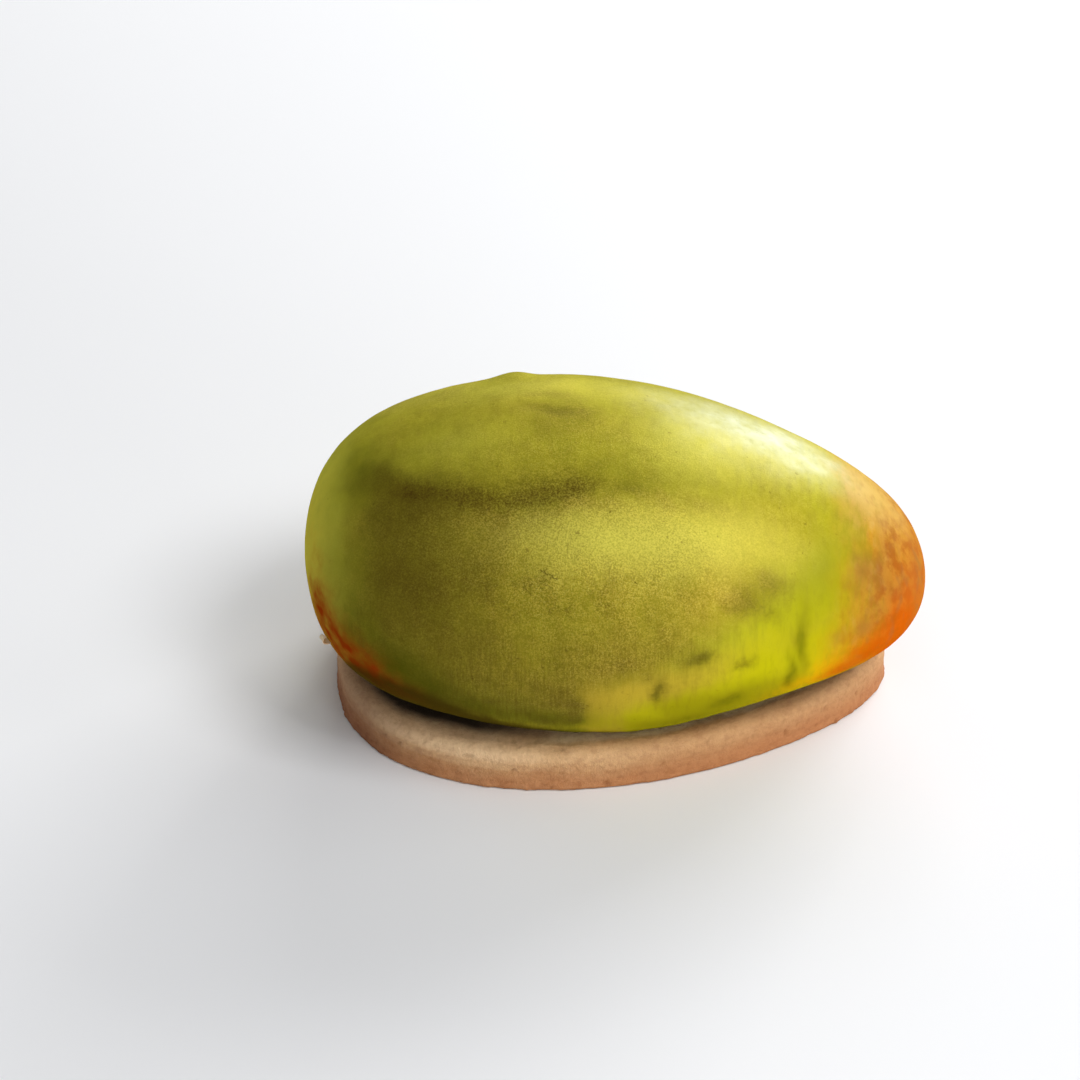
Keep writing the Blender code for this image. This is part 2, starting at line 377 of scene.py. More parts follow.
    # red-orange low on the blunt end: partly the airbrushed colour, partly painted orange light reflected from below
    rust_red_and_reflection = blobs(q, [(-49.5, -14.0, 25.5, 2.2, 4.8, 0.95), (-47.8, -17.0, 21.5, 2.8, 4.5, 1.0),
                     (-44.8, -20.2, 19.0, 3.6, 4.0, 1.0), (-40.6, -23.0, 16.8, 4.0, 3.6, 1.0),
                     (-36.8, -24.6, 14.2, 3.6, 3.0, 0.8), (-31.5, -25.8, 11.5, 4.0, 2.2, 0.4),
                     (-45.0, -21.5, 22.5, 2.6, 3.0, 0.75), (-41.0, -24.5, 19.5, 2.4, 2.2, 0.60),
                     (-37.0, -26.5, 18.0, 1.4, 1.2, 0.45), (-41.0, -24.5, 22.0, 2.0, 1.8, 0.35),
                     (-50.5, 0.0, 20.0, 2.0, 8.0, 0.8), (-46.0, 17.0, 19.0, 3.5, 4.0, 0.8),
                     (-38.0, 23.0, 15.5, 5.0, 2.5, 0.6)])
    add("rust_red_and_reflection", rust_red_and_reflection * (0.92 + 0.45 * fine))
    mauve = blobs(q, [(41.0, -15.0, 33.5, 1.4, 2.2, 0.8), (43.6, -12.5, 33.0, 1.2, 2.6, 0.7),
                      (40.5, -17.5, 29.5, 2.0, 3.0, 0.25),
                      (41.6, -19.0, 25.4, 1.6, 1.2, 0.7), (43.5, -17.0, 27.5, 1.2, 1.2, 0.5),
                      (36.5, -21.5, 25.0, 1.2, 0.9, 0.5), (46.0, -12.0, 28.0, 1.6, 1.6, 0.5),
                      (40.0, -5.5, 39.5, 3.0, 2.5, 0.25), (44.0, 9.0, 31.0, 2.5, 4.0, 0.6),
                      (47.5, 5.0, 27.0, 2.0, 3.0, 0.5), (51.0, -6.0, 27.0, 1.6, 7.0, 0.5)])
    mauve = np.clip(mauve + 0.55 * tip * smooth(0.10, 0.5, fbm(p, 2.6, 41, 3, stretch=(0.6, 1, 1.3))), 0, 1)
    add("mauve", mauve)
    # paler peach and yellow streaks where the tip colour was misted on
    high = q[:, 2] + 1.5 * mid + 0.10 * p[:, 1] + 0.5 * np.clip(x - 40, 0, None)
    add("peach", smooth(36.0, 42.0, qx) * smooth(35.0, 40.0, high) + 0.40 * tip * (1 - smooth(43.0, 46.5, qx))
        * smooth(0.15, 0.50, fbm(p, 3.0, 43, 3, stretch=(0.45, 1, 1.6))))
    # painted shade: darker towards the edge underneath, further up at the blunt end, and along the lower front edge
    facing = smooth(8.0, -8.0, p[:, 1])
    turn = -0.68 + 0.41 * facing * smooth(-51.0, -43.0, x) * (1 - smooth(-37.0, -8.0, x))
    down = n[:, 2] + 0.05 * fine
    add("under", smooth(turn + 0.04, turn - 0.18, down))
    right = smooth(3.0, 10.0, x) * (1 - smooth(24.5, 34.0, x)) * smooth(-0.02, -0.34, down)
    edge_right = smooth(-3.0, 5.0, x) * (1 - smooth(24.0, 34.0, x)) * smooth(-0.34, -0.54, down)
    shade = facing * np.maximum(0.72 * right, 0.66 * edge_right)
    add("shade", np.maximum(shade, smooth(-0.52, -0.86, down)))
    spots = blobs(q, [(25.1, -22.5, 37.2, 2.6, 1.7, 0.95), (20.9, -25.9, 35.2, 2.2, 1.4, 0.85),
                      (0.8, -33.6, 28.6, 1.3, 0.6, 0.85), (-7.8, -33.7, 20.5, 1.6, 1.1, 0.8),
                      (-7.7, -32.8, 17.7, 1.2, 0.9, 0.8), (-20.7, -31.7, 19.6, 1.6, 0.8, 0.55),
                      (-14.6, -28.4, 41.4, 0.9, 0.5, 0.6), (19.1, -28.6, 18.0, 1.2, 0.8, 0.35),
                      (13.2, -31.1, 28.3, 2.1, 1.0, 1.0), (7.1, -32.8, 22.3, 0.8, 1.8, 1.0),
                      (1.8, -33.6, 27.9, 1.8, 0.6, 0.85), (19.4, -25.5, 36.8, 1.8, 1.6, 0.8),
                      (12.5, -31.8, 24.0, 4.5, 1.6, 0.16),
                      (20.9, -29.0, 25.5, 2.0, 0.8, 0.60), (24.6, -25.7, 32.4, 1.6, 1.1, 0.4),
                      (4.6, -33.4, 25.5, 0.7, 0.8, 0.5), (-7.0, -31.8, 15.5, 1.3, 1.4, 0.8),
                      (-11.5, -31.0, 14.8, 1.6, 1.3, 0.6), (-17.0, -31.8, 20.5, 1.4, 0.9, 0.4),
                      (14.6, -15.3, 47.7, 2.2, 0.8, 0.4), (2.0, -15.4, 50.6, 2.4, 0.8, 0.5),
                      (-10.2, 6.4, 54.4, 3.0, 0.8, 0.55), (-9.2, 0.8, 54.9, 2.8, 1.1, 0.60),
                      (-14.0, 2.0, 54.6, 2.2, 0.8, 0.30), (-8.0, -2.2, 54.7, 5.0, 2.2, 0.35),
                      (10.0, 30.0, 31.0, 1.8, 1.4, 0.7), (-14.0, 33.0, 27.0, 2.2, 1.2, 0.7),
                      (22.0, 25.5, 22.0, 1.3, 2.0, 0.7), (-33.0, 24.0, 33.0, 1.8, 1.8, 0.6)])
    mottle = smooth(0.30, 0.62, fbm(p, 5.0, 42, 3)) * (1 - smooth(24, 36, p[:, 2])) * 0.30
    # fine runs of paint down the dusted lower front
    add("apron", (1 - smooth(26.0, 38.0, q[:, 2])) * smooth(-36.0, -27.0, x) * (1 - smooth(12.0, 20.0, x)) * facing
        * (1 - 0.92 * straw) * (1 - 0.85 * np.clip(lime, 0, 1)))
    add("smudge", np.clip(spots + mottle, 0, 1))
    # warm brown below the crease on the shaded shoulder: partly the coat's own colour, partly painted shade
    brown_and_shade = np.exp(-0.5 * ((qx + 38.0) / np.where(qx > -38.0, 12.0, 3.6)) ** 2)
    brow = crest + 9.0 * smooth(-33.0, -40.0, x)
    brown_and_shade *= (1 - smooth(brow - 1.0, brow + 9.0, ang_q)) * smooth(-28.0, 30.0, ang_q)
    brown_and_shade = 1 - (1 - np.clip(brown_and_shade, 0, 1)) * (1 - blobs(q, [(-29.5, -24.5, 42.0, 6.0, 4.5, 0.85),
                                                           (-21.0, -27.4, 41.3, 4.5, 3.4, 0.35),
                                                           (-40.5, -8.0, 45.5, 3.0, 3.5, 0.35),
                                                           (-23.0, -28.0, 38.5, 6.0, 4.0, 0.35),
                                                           (-23.0, -31.5, 28.0, 6.0, 6.0, 0.28),
                                                           (-14.0, -33.7, 21.5, 7.0, 3.2, 0.30)]))
    # and a little of it over the whole lower front
    low_front = smooth(45.0, 37.0, q[:, 2]) * smooth(-37.0, -29.0, x) * (1 - smooth(10.0, 17.0, x)) * (ang < 90)
    low_front *= (1 - 0.7 * straw) * (1 - 0.5 * smooth(-10.0, -4.0, x) * (1 - smooth(27.0, 33.0, q[:, 2])))
    brown_and_shade = 1 - (1 - brown_and_shade) * (1 - 0.28 * low_front)
    brown_and_shade = np.clip(brown_and_shade * (0.92 + 0.35 * mid), 0, 1)
    add("brown_and_shade", brown_and_shade)
    # the sprayed paint at the lower edge lies over the dust
    dust *= (1 - 0.9 * np.clip(green, 0, 1)) * (1 - 0.95 * np.clip(rust_red_and_reflection, 0, 1)) * (1 - 0.35 * brown_and_shade)
    dust *= 1 - 0.8 * np.clip(orange_and_reflection, 0, 1)
    dust *= 0.35 + 0.65 * smooth(12.0, 20.0, q[:, 2])
    dust *= (1 - 0.75 * straw) * (1 - 0.85 * np.clip(painted_highlight, 0, 1))
    add("dust", dust)
    # the coat has crazed a little in the middle of the front
    add("worn", blobs(q, [(-14.0, -29.0, 39.0, 13.0, 9.0, 1.0), (-8.0, 27.0, 38.0, 9.0, 7.0, 0.6)]))
    # height band and streak direction
    at = ob.data.attributes.new("around", 'FLOAT_VECTOR', 'POINT')
    flow = np.stack([x, ang * 0.55, 0 * x], -1)
    flow = np.concatenate([flow, [[-52.5, 0, 0], [52.5, 0, 0]],
                           np.tile([[-48.0, -12.0, 0.0]], (len(flake), 1))]).astype(np.float32)
    at.data.foreach_set("vector", flow.ravel())
    return ob


# -------------------------------------------------------------------- biscuit
B_LENGTH, B_HALF, B_X, B_Y, B_THICK = 94.0, 31.5, -0.7, 1.5, 7.5
B_TAPER, B_BLUNT, B_NARROW = 0.25, 0.12, -0.08


def build_biscuit():
    cols = 540
    # even spacing along the outline
    u = np.linspace(0, 2 * np.pi, 4001)
    tx = np.cos(u)
    o = np.stack([0.5 * B_LENGTH * tx, B_HALF * np.sin(u) * fullness(tx, B_TAPER, B_BLUNT, B_NARROW)], -1)
    run = np.concatenate([[0], np.cumsum(np.linalg.norm(np.diff(o, axis=0), axis=1))])
    want = np.linspace(0, run[-1], cols, endpoint=False)
    o = np.stack([np.interp(want, run, o[:, 0]), np.interp(want, run, o[:, 1])], -1)
    tang = np.roll(o, -1, 0) - np.roll(o, 1, 0)
    tang /= np.linalg.norm(tang, axis=1, keepdims=True)
    out = np.stack([tang[:, 1], -tang[:, 0]], -1)

    # section: (inset from the side, height, how far the ring follows the outline)
    section = []
    for k in range(1, 14):
        section.append((None, 0.0, k / 14.0))
    for inset in (2.0, 1.2, 0.6, 0.25):
        section.append((inset, 0.0, 1.0))
    for zz in np.linspace(0.12, 4.9, 12):
        section.append((0.0, zz, 1.0))
    for k in range(1, 8):
        a = 0.5 * np.pi * k / 8.0
        section.append((2.6 * (1 - math.cos(a)), 4.9 + 2.6 * math.sin(a), 1.0))
    for inset in np.arange(2.6, 14.0, 0.47):
        section.append((inset, 7.5, 1.0))
    deepest = section[-1][0]
    for k in range(1, 10):
        section.append((deepest, 7.5, 1.0 - k / 10.0))
    rings = []
    for inset, z, share in section:
        if inset is None:
            ring = (o - out * 2.0) * share
        else:
            ring = (o - out * inset) * share
        rings.append(np.c_[ring, np.full(cols, z)])
    rows = len(rings)
    p = np.concatenate(rings)
    side = np.concatenate([np.c_[out, np.zeros(cols)]] * rows)
    z = p[:, 2]
    depth = np.repeat([s[0] if s[0] is not None else 9.0 for s in section], cols)
    on_side = (depth < 2.6) & (z > 0.05)
    onto_top = np.clip((z - 4.9) / 2.6, 0, 1)
    n = side * (1 - onto_top)[:, None] + np.array([0, 0, 1.0]) * onto_top[:, None]
    n /= np.linalg.norm(n, axis=1, keepdims=True)

    hand = 0.45 * fbm(np.c_[p[:, :2], 0 * z], 17.0, 51, 2) + 0.18 * fbm(p, 5.0, 52, 3)
    grit = 0.10 * fbm(p, 1.9, 53, 2)
    holes = smooth(0.36, 0.70, fbm(p, 1.7, 54, 2)) * 0.32
    crumbs = smooth(0.45, 0.8, fbm(p, 1.5, 55, 2)) * 0.22
    d = np.where(z > 0.05, hand + grit - holes + crumbs, 0.0)
    d = np.where(onto_top > 0.99, 0.13 * fbm(p, 6.0, 56, 2) + 0.08 * fbm(p, 1.6, 57, 2) - 0.7 * holes + 0.5 * crumbs, d)
    # the part under the mango is pressed flat
    pressed = smooth(9.5, 12.0, depth) * (z > 7)
    d = d * (1 - pressed) - 0.08 * pressed
    v = p + n * d[:, None]
    foot = (depth < 9.0) & (z < 1.6)
    spread = (1 - smooth(0.0, 1.5, z)) * (0.16 + 0.20 * smooth(0.0, 0.6, fbm(np.c_[p[:, :2], 0 * z], 2.2, 58, 3)))
    v += side * (np.where(foot, spread, 0) * (1 - smooth(0.0, 2.0, depth)))[:, None]
    v[:, 2] = np.where(z <= 0.0, 0.0, np.maximum(v[:, 2], 0.02))
    v[:, 0] += B_X
    v[:, 1] += B_Y
    centre_low = np.array([[B_X, B_Y, 0.0]])
    centre_top = np.array([[B_X, B_Y, 7.42]])
    v = np.concatenate([v, centre_low, centre_top])
    faces = ring_faces(rows, cols)
    a, b = rows * cols, rows * cols + 1
    last = (rows - 1) * cols
    for j in range(cols):
        m = (j + 1) % cols
        faces.append((a, m, j))
        faces.append((b, last + j, last + m))
    ob = mesh_object("biscuit", v, faces)
    add_mask(ob, "hole", np.concatenate([np.clip(holes * 3.3, 0, 1), [0, 0]]))
    # painted highlight along the rounded rim, weaker towards the narrow end
    painted_rim_highlight = np.clip(1.25 - np.abs(onto_top - 0.6) / 0.65, 0, 1) * (z > 4) * (1 - 0.65 * smooth(-22.0, -8.0, p[:, 0]))
    add_mask(ob, "painted_rim_highlight", np.concatenate([painted_rim_highlight, [0, 0]]))
    # painted contact shadow: the top is darkened under the mango's overhang, most under the blunt end
    begins = 2.0 + 1.7 * smooth(-36.0, -24.0, p[:, 0])
    painted_contact_shadow = smooth(begins, begins + 3.0, depth + 0.8 * fbm(p, 6.0, 59, 3)) * (z > 7) * (1 - smooth(-24.0, -7.0, p[:, 0]))
    add_mask(ob, "painted_contact_shadow", np.concatenate([painted_contact_shadow, [0, 1]]))
    # darker towards the blunt end
    add_mask(ob, "blunt_end_darker", np.concatenate([(1 - smooth(-44.0, -31.0, p[:, 0])) * (z > 0), [0, 0]]))
    # painted light: the top is lightened in the shadowed gap under the front of the mango, from its middle towards the
    # narrow end
    painted_gap_light = smooth(2.3, 4.4, depth + 0.6 * fbm(p, 5.0, 62, 2)) * (z > 7) * smooth(-15.0, -3.0, p[:, 0])
    painted_gap_light *= 0.25 + 0.75 * smooth(6.0, -6.0, p[:, 1])
    add_mask(ob, "painted_gap_light", np.concatenate([painted_gap_light, [0, 0]]))
    # one end took more heat in the oven than the other
    add_mask(ob, "toast", np.concatenate([smooth(-8.0, 14.0, p[:, 0] + 3.0 * fbm(p, 12.0, 61, 2)), [0, 0]]))
    # the side is darker and redder than the top, most near the foot: partly the baked crust's own colour, partly
    # painted orange light reflected from below
    add_mask(ob, "side", np.concatenate([(1 - smooth(0.8, 6.2, z + 1.2 * fbm(p, 5.0, 60, 3))) * (z > 0), [0, 0]]))
    return ob


# ------------------------------------------------------------------ materials
class Nodes:
    def __init__(self, name):
        self.mat = bpy.data.materials.new(name)
        self.mat.use_nodes = True
        self.t = self.mat.node_tree
        self.bsdf = self.t.nodes["Principled BSDF"]
        self.coord = self.t.nodes.new("ShaderNodeTexCoord").outputs["Object"]

    def link(self, a, b):
        self.t.links.new(a, b)

    def attr(self, name, vector=False):
        n = self.t.nodes.new("ShaderNodeAttribute")
        n.attribute_name = name
        return n.outputs["Vector" if vector else "Fac"]

    def noise(self, scale, detail=2.0, rough=0.5, vector=None, distortion=0.0):
        n = self.t.nodes.new("ShaderNodeTexNoise")
        self.link(vector or self.coord, n.inputs["Vector"])
        n.inputs["Scale"].default_value = scale
        n.inputs["Detail"].default_value = detail
        n.inputs["Roughness"].default_value = rough
        n.inputs["Distortion"].default_value = distortion
        return n.outputs["Fac"]

    def warped(self, scale, amount):
        """Object coordinates pushed about by noise, so that cells lose their straight edges."""
        n = self.t.nodes.new("ShaderNodeTexNoise")
        self.link(self.coord, n.inputs["Vector"])
        n.inputs["Scale"].default_value = scale
        n.inputs["Detail"].default_value = 3.0
        push = self.t.nodes.new("ShaderNodeVectorMath")
        push.operation = 'MULTIPLY_ADD'
        self.link(n.outputs["Color"], push.inputs[0])
        push.inputs[1].default_value = (amount, amount, amount)
        self.link(self.coord, push.inputs[2])
        return push.outputs[0]

    def voronoi(self, scale, vector=None, feature='F1'):
        n = self.t.nodes.new("ShaderNodeTexVoronoi")
        n.feature = feature
        self.link(vector or self.coord, n.inputs["Vector"])
        n.inputs["Scale"].default_value = scale
        return n.outputs["Distance"]

    def mapping(self, vector, scale):
        n = self.t.nodes.new("ShaderNodeMapping")
        self.link(vector, n.inputs["Vector"])
        n.inputs["Scale"].default_value = scale
        return n.outputs["Vector"]

    def math(self, op, a, b=0.0, c=0.0, clamp=False):
        n = self.t.nodes.new("ShaderNodeMath")
        n.operation = op
        n.use_clamp = clamp
        for i, v in enumerate((a, b, c)):
            if isinstance(v, (int, float)):
                n.inputs[i].default_value = v
            else:
                self.link(v, n.inputs[i])
        return n.outputs[0]

    def ramp(self, v, a, b, lo=0.0, hi=1.0):
        n = self.t.nodes.new("ShaderNodeMapRange")
        n.interpolation_type = 'SMOOTHSTEP'
        self.link(v, n.inputs["Value"])
        n.inputs["From Min"].default_value = a
        n.inputs["From Max"].default_value = b
        n.inputs["To Min"].default_value = lo
        n.inputs["To Max"].default_value = hi
        return n.outputs["Result"]

    def mix(self, fac, a, b, blend='MIX'):
        n = self.t.nodes.new("ShaderNodeMix")
        n.data_type = 'RGBA'
        n.blend_type = blend
        for sock, v in ((n.inputs[0], fac), (n.inputs[6], a), (n.inputs[7], b)):
            if isinstance(v, (int, float)):
                sock.default_value = v
            elif isinstance(v, tuple):
                sock.default_value = v
            else:
                self.link(v, sock)
        return n.outputs[2]

    def crack(self, u0, u1, v0, slope, half=0.17):
        """A wandering hairline on the skin, from u0 to u1 mm along X, in the "around" coordinates."""
        around = self.attr("around", True)
        parts = self.t.nodes.new("ShaderNodeSeparateXYZ")
        self.link(around, parts.inputs[0])
        u, v = parts.outputs[0], parts.outputs[1]
        wander = self.math('MULTIPLY_ADD', self.noise(1.1, 3.0, 0.6, vector=around), 2.0, -1.0)
        course = self.math('MULTIPLY_ADD', self.math('SUBTRACT', u, u0), slope, v0)
        off = self.math('ABSOLUTE', self.math('SUBTRACT', self.math('SUBTRACT', v, course), wander))
        line = self.ramp(off, 0.35 * half, half, 1.0, 0.0)
        ends = self.math('MULTIPLY', self.ramp(u, u0, u0 + 0.4), self.ramp(u, u1 - 0.4, u1, 1.0, 0.0))
        return self.math('MULTIPLY', line, ends)

    def bump(self, height, strength, distance, normal=None):
        n = self.t.nodes.new("ShaderNodeBump")
        n.inputs["Strength"].default_value = strength
        n.inputs["Distance"].default_value = distance
        self.link(height, n.inputs["Height"])
        if normal is not None:
            self.link(normal, n.inputs["Normal"])
        return n.outputs["Normal"]


def mango_material():
    m = Nodes("gold_dusted_mango_skin")
    gain = m.math('MULTIPLY_ADD', m.attr("coarse"), 1.35, 0.24)
    grain = m.noise(3300.0, 4.0, 0.70)             # about 0.3 mm
    grain = m.math('MULTIPLY_ADD', m.math('SUBTRACT', grain, 0.5), gain, 0.5)
    grit = m.noise(5600.0, 2.0, 0.6)               # about 0.18 mm
    fleck = m.noise(1050.0, 4.0, 0.62)             # about 1 mm
    blotch = m.noise(360.0, 4.0, 0.6)              # about 3 mm
    cloud = m.noise(230.0, 4.0, 0.55)              # about 4 mm
    broad = m.noise(75.0, 3.0, 0.5)
    streak = m.noise(1.0, 4.0, 0.6, vector=m.mapping(m.attr("around", True), (0.95, 0.16, 1.0)))
    # the streaks run round the body and give way to blotches at its two ends
    ends = m.attr("ends")
    streak = m.math('MULTIPLY_ADD', m.math('SUBTRACT', blotch, streak), ends, streak)
    dust = m.attr("dust")

    # airbrushed colours under the dust
    skin = m.mix(m.ramp(broad, 0.35, 0.65), srgb(150, 150, 34), srgb(170, 166, 40))
    skin = m.mix(m.ramp(cloud, 0.42, 0.70, 0.0, 0.40), skin, srgb(124, 124, 24))

    def paint(skin, name, colour, soft=0.55, amount=1.0, source=None):
        mask = m.attr(name)
        wob = m.math('MULTIPLY_ADD', source or cloud, soft, -0.5 * soft)
        inside = m.math('MULTIPLY', m.math('MULTIPLY', mask, m.math('SUBTRACT', 1.0, mask)), 4.0)
        fac = m.math('MULTIPLY_ADD', inside, wob, mask, clamp=True)
        return m.mix(m.math('MULTIPLY', fac, amount), skin, colour)

    skin = paint(skin, "left_rim", srgb(212, 208, 74), amount=1.0)
    skin = paint(skin, "straw", srgb(198, 167, 53), source=streak, soft=0.7)
    skin = paint(skin, "lime", srgb(190, 184, 12), source=streak, soft=0.7)
    skin = paint(skin, "yellow", srgb(232, 176, 6), source=streak, soft=0.9)
    skin = paint(skin, "tip", m.mix(m.ramp(blotch, 0.38, 0.62), srgb(188, 130, 44), srgb(160, 92, 29)), source=streak, soft=0.8)
    skin = paint(skin, "peach", srgb(204, 170, 92), source=streak, soft=0.9, amount=0.85)
    # partly painted orange reflected light
    skin = paint(skin, "orange_and_reflection", srgb(205, 88, 2), soft=0.7)
    skin = paint(skin, "green", srgb(72, 80, 5), source=streak, soft=0.7, amount=0.95)
    # partly painted orange reflected light
    skin = paint(skin, "rust_red_and_reflection", srgb(152, 42, 0), source=blotch, soft=1.0)
    skin = paint(skin, "mauve", srgb(150, 98, 50), amount=0.7)
    skin = m.mix(m.ramp(streak, 0.30, 0.72, 0.12, -0.12), skin, srgb(92, 82, 8))
    skin = paint(skin, "smudge", srgb(72, 68, 13), amount=0.82, source=fleck, soft=1.2)

    # gold dust: grains of light and dark gold
    gold = m.mix(m.ramp(grain, 0.38, 0.61), srgb(106, 76, 20), srgb(204, 177, 68))
    gold = m.mix(m.math('MULTIPLY', m.ramp(grit, 0.54, 0.66, 0.0, 0.65), gain, clamp=True), gold, srgb(228, 208, 110))
    gold = m.mix(m.ramp(fleck, 0.34, 0.48, 0.55, 0.0), gold, srgb(104, 80, 14))
    gold = m.mix(m.ramp(blotch, 0.38, 0.58, 0.30, 0.0), gold, srgb(112, 86, 16))
    cover = m.math('MULTIPLY', dust, m.ramp(grain, 0.34, 0.62, 0.65, 1.15), clamp=True)
    colour = m.mix(cover, skin, gold)
    # painted light on the upper front and along the crown
    painted_light_patch = m.math('MULTIPLY', m.attr("painted_light_patch"), m.ramp(grain, 0.32, 0.64, 0.60, 1.15), clamp=True)
    colour = m.mix(painted_light_patch, colour, srgb(221, 212, 88))
    # painted highlight on the shoulder of the narrow end
    painted_highlight = m.math('MULTIPLY', m.attr("painted_highlight"), m.ramp(cloud, 0.28, 0.66, 0.72, 1.0), clamp=True)
    painted_highlight = m.math('MULTIPLY', painted_highlight, m.ramp(fleck, 0.34, 0.50, 0.86, 1.0), clamp=True)
    colour = m.mix(m.math('MULTIPLY', painted_highlight, 0.9), colour, srgb(233, 237, 211))
    drips = m.noise(1.0, 3.0, 0.65, vector=m.mapping(m.attr("around", True), (2.6, 0.20, 1.0)))
    colour = m.mix(m.math('MULTIPLY', m.attr("apron"), m.ramp(drips, 0.40, 0.58, 0.30, 0.0)), colour, srgb(88, 76, 10))
    # painted shade along the lower front edge and underneath
    colour = m.mix(m.math('MULTIPLY', m.attr("shade"), 0.55), colour, srgb(94, 84, 6))
    colour = m.mix(m.math('MULTIPLY', m.attr("under"), 0.85), colour, srgb(54, 36, 4))
    # warm brown, partly painted shade, on the shaded shoulder and the lower front
    colour = m.mix(m.math('MULTIPLY', m.attr("brown_and_shade"), m.ramp(grain, 0.32, 0.66, 0.84, 0.57)), colour, srgb(76, 56, 15))
    # painted shade: darker line along the crease and in the bottoms of small dents; the crease is also rougher
    dark = m.math('MULTIPLY', m.attr("crease"), m.ramp(grain, 0.36, 0.64, 1.10, 0.55), clamp=True)
    dark = m.math('MULTIPLY', dark, m.ramp(fleck, 0.35, 0.55, 1.05, 0.85), clamp=True)
    colour = m.mix(m.math('MULTIPLY', dark, 0.82), colour, srgb(72, 48, 15))
    colour = m.mix(m.math('MULTIPLY', m.attr("dent"), 0.5, clamp=True), colour, srgb(70, 60, 14))
    # sparse dark specks, and hairline cracks in the coat
    speck = m.math('MULTIPLY', m.ramp(m.noise(900.0, 3.0, 0.6), 0.64, 0.72), m.ramp(m.noise(190.0, 2.0, 0.5), 0.45, 0.60))
    speck = m.math('MULTIPLY', speck, m.ramp(dust, 0.1, 0.5, 0.35, 1.0))
    cracks = m.crack(-13.2, -9.8, 20.4, -0.42, 0.12)
    for line in ((-15.8, -13.8, 17.4, -0.7, 0.12), (-11.4, -10.4, 18.6, 1.2, 0.10), (2.0, 3.2, 20.0, -1.4, 0.10)):
        cracks = m.math('MAXIMUM', cracks, m.crack(*line))
    colour = m.mix(m.math('MULTIPLY', m.math('MAXIMUM', speck, cracks), 0.48), colour, srgb(70, 50, 8))
    thread = m.math('ABSOLUTE', m.math('SUBTRACT', m.noise(430.0, 3.0, 0.6, distortion=0.4), 0.5))
    crazing = m.math('MULTIPLY', m.ramp(thread, 0.004, 0.020, 1.0, 0.0), m.ramp(m.noise(230.0, 3.0, 0.5), 0.47, 0.60))
    crazing = m.math('MULTIPLY', crazing, m.math('MULTIPLY', m.attr("worn"), 0.38), clamp=True)
    colour = m.mix(crazing, colour, srgb(76, 56, 10))
    colour = m.mix(m.attr("flake"), colour, srgb(250, 228, 190))
    m.link(colour, m.bsdf.inputs["Base Color"])
    m.link(m.math('MULTIPLY', cover, 0.62), m.bsdf.inputs["Metallic"])
    rough = m.math('ADD', m.ramp(grain, 0.3, 0.7, 0.42, 0.52), m.math('MULTIPLY', dark, 0.25))
    rough = m.math('SUBTRACT', rough, m.math('MULTIPLY', painted_highlight, 0.12), clamp=True)
    m.link(rough, m.bsdf.inputs["Roughness"])
    m.bsdf.inputs["Specular IOR Level"].default_value = 0.0
    m.bsdf.inputs["Sheen Weight"].default_value = 0.05
    m.bsdf.inputs["Sheen Roughness"].default_value = 0.45
    m.bsdf.inputs["Sheen Tint"].default_value = (1.0, 0.86, 0.08, 1.0)

    h = m.math('MULTIPLY_ADD', grit, 0.35, grain)
    amount = m.math('MULTIPLY_ADD', dust, 0.75, 0.25)
    h = m.math('MULTIPLY', h, amount)
    h = m.math('MULTIPLY_ADD', cracks, -1.5, h)
    h = m.math('MULTIPLY_ADD', crazing, -0.8, h)
    normal = m.bump(h, 0.80, 0.00026)
    normal = m.bump(m.noise(620.0, 3.0, 0.5), 0.14, 0.00035, normal)
    m.link(normal, m.bsdf.inputs["Normal"])
    return m.mat


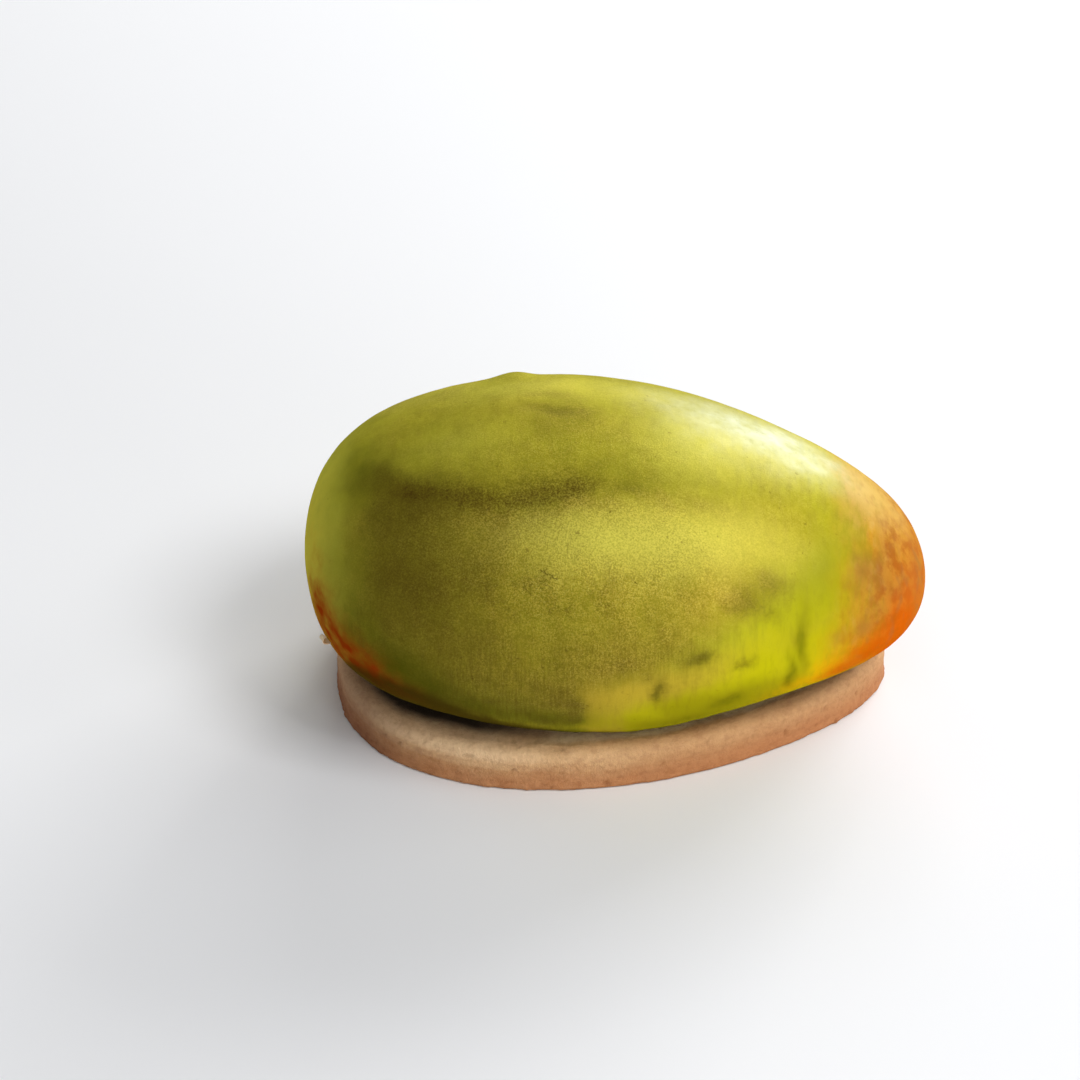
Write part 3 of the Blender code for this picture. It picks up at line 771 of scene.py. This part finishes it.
def biscuit_material():
    m = Nodes("baked_biscuit_crumb")
    grain = m.noise(1500.0, 4.0, 0.65)
    grit = m.noise(4200.0, 2.0, 0.6)
    cloud = m.noise(160.0, 4.0, 0.55)
    colour = m.mix(m.ramp(cloud, 0.35, 0.65), srgb(212, 164, 112), srgb(226, 182, 130))
    colour = m.mix(m.ramp(grain, 0.30, 0.70), m.mix(0.30, colour, srgb(170, 122, 80)), colour)
    colour = m.mix(m.ramp(grit, 0.56, 0.74, 0.0, 0.4), colour, srgb(238, 208, 164))
    # painted shade in the pinholes
    colour = m.mix(m.math('MULTIPLY', m.attr("hole"), 0.45), colour, srgb(140, 96, 60))
    # painted highlight on the rounded rim
    colour = m.mix(m.math('MULTIPLY', m.attr("painted_rim_highlight"), 0.72), colour, srgb(252, 218, 172))
    colour = m.mix(m.math('MULTIPLY', m.attr("toast"), m.ramp(cloud, 0.30, 0.65, 0.50, 0.80)), colour, srgb(190, 140, 92))
    # painted light in the gap under the mango
    colour = m.mix(m.math('MULTIPLY', m.attr("painted_gap_light"), 0.95), colour, srgb(255, 230, 188))
    # partly painted orange reflected light on the side
    colour = m.mix(m.math('MULTIPLY', m.attr("side"), 0.65), colour, srgb(178, 110, 66))
    colour = m.mix(m.math('MULTIPLY', m.attr("blunt_end_darker"), 0.55), colour, srgb(139, 86, 60))
    # darker blotches of a millimetre or two, faint layers drawn out along the side, and painted shade in the pinholes
    colour = m.mix(m.ramp(m.noise(800.0, 4.0, 0.65), 0.42, 0.68, 0.0, 0.52), colour, (0.76, 0.68, 0.66, 1.0), 'MULTIPLY')
    layers = m.noise(260.0, 4.0, 0.6, vector=m.mapping(m.coord, (1.0, 1.0, 4.0)))
    colour = m.mix(m.ramp(layers, 0.44, 0.68, 0.0, 0.34), colour, (0.78, 0.70, 0.68, 1.0), 'MULTIPLY')
    colour = m.mix(m.math('MULTIPLY', m.attr("hole"), 0.65), colour, (0.62, 0.54, 0.48, 1.0), 'MULTIPLY')
    # painted contact shadow under the mango
    colour = m.mix(m.math('MULTIPLY', m.attr("painted_contact_shadow"), 0.96), colour, srgb(34, 24, 12))
    m.link(colour, m.bsdf.inputs["Base Color"])
    m.bsdf.inputs["Roughness"].default_value = 0.88
    m.bsdf.inputs["Specular IOR Level"].default_value = 0.25
    normal = m.bump(m.math('MULTIPLY_ADD', grit, 0.4, grain), 0.8, 0.00035)
    m.link(normal, m.bsdf.inputs["Normal"])
    return m.mat


def floor_material():
    m = Nodes("pale_floor")
    m.bsdf.inputs["Base Color"].default_value = (0.86, 0.865, 0.88, 1.0)
    m.bsdf.inputs["Roughness"].default_value = 0.7
    m.bsdf.inputs["Specular IOR Level"].default_value = 0.1
    return m.mat


# ---------------------------------------------------------------------- build
mango = build_mango()
mango.data.materials.append(mango_material())
biscuit = build_biscuit()
biscuit.data.materials.append(biscuit_material())
for piece, node, slot in ((mango, "mango", "mango_skin"), (biscuit, "biscuit_base", "baked_biscuit")):
    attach(piece, "root")
    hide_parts(node)

# ---------------------------------------------------------------------- stage
bpy.ops.mesh.primitive_plane_add(size=9.0, location=(0, 0, -0.00015))
floor = bpy.context.object
floor.name = "floor"
floor.data.materials.append(floor_material())

scene = bpy.context.scene
scene.view_settings.view_transform = 'Standard'
scene.view_settings.look = 'None'
world = bpy.data.worlds.new("studio")
scene.world = world
world.use_nodes = True
world.node_tree.nodes["Background"].inputs[0].default_value = (0.93, 0.96, 1.0, 1.0)
world.node_tree.nodes["Background"].inputs[1].default_value = 0.10


def soft_light(name, azimuth, elevation, distance, width, height, power, colour=(1, 1, 1)):
    """Azimuth from straight behind the object, turning to the right."""
    a, e = math.radians(azimuth), math.radians(elevation)
    d = Vector((math.sin(a) * math.cos(e), math.cos(a) * math.cos(e), math.sin(e)))
    data = bpy.data.lights.new(name, 'AREA')
    data.shape = 'RECTANGLE'
    data.size, data.size_y = width, height
    data.energy = power
    data.color = colour
    ob = bpy.data.objects.new(name, data)
    scene.collection.objects.link(ob)
    ob.location = Vector((0, 0, 0.03)) + d * distance
    ob.rotation_euler = d.to_track_quat('Z', 'Y').to_euler()
    return ob


soft_light("key_back_right", 36, 20, 1.0, 0.55, 0.45, 8.0)
soft_light("back", 10, 28, 1.1, 0.5, 0.4, 3.0)
soft_light("side_right", 90, 32, 1.0, 0.60, 0.40, 1.4)
soft_light("front_high", 122, 54, 1.0, 0.40, 0.40, 4.4)
soft_light("front_top", 165, 56, 1.0, 0.5, 0.40, 1.1)
soft_light("front_low", 140, 8, 1.0, 0.55, 0.20, 3.6)
soft_light("front_left", 208, 46, 1.0, 0.5, 0.40, 0.65)
soft_light("left_rim", 305, 14, 1.0, 0.5, 0.3, 1.5)

camera = bpy.data.cameras.new("camera")
camera.lens = 180.0
camera.sensor_width = 36.0
camera.clip_start = 0.02
camera_ob = bpy.data.objects.new("camera", camera)
scene.collection.objects.link(camera_ob)
camera_ob.location = (-0.01278, -0.7329, 0.5715)
camera_ob.rotation_euler = (math.radians(53.5), 0.0, 0.0)
scene.camera = camera_ob
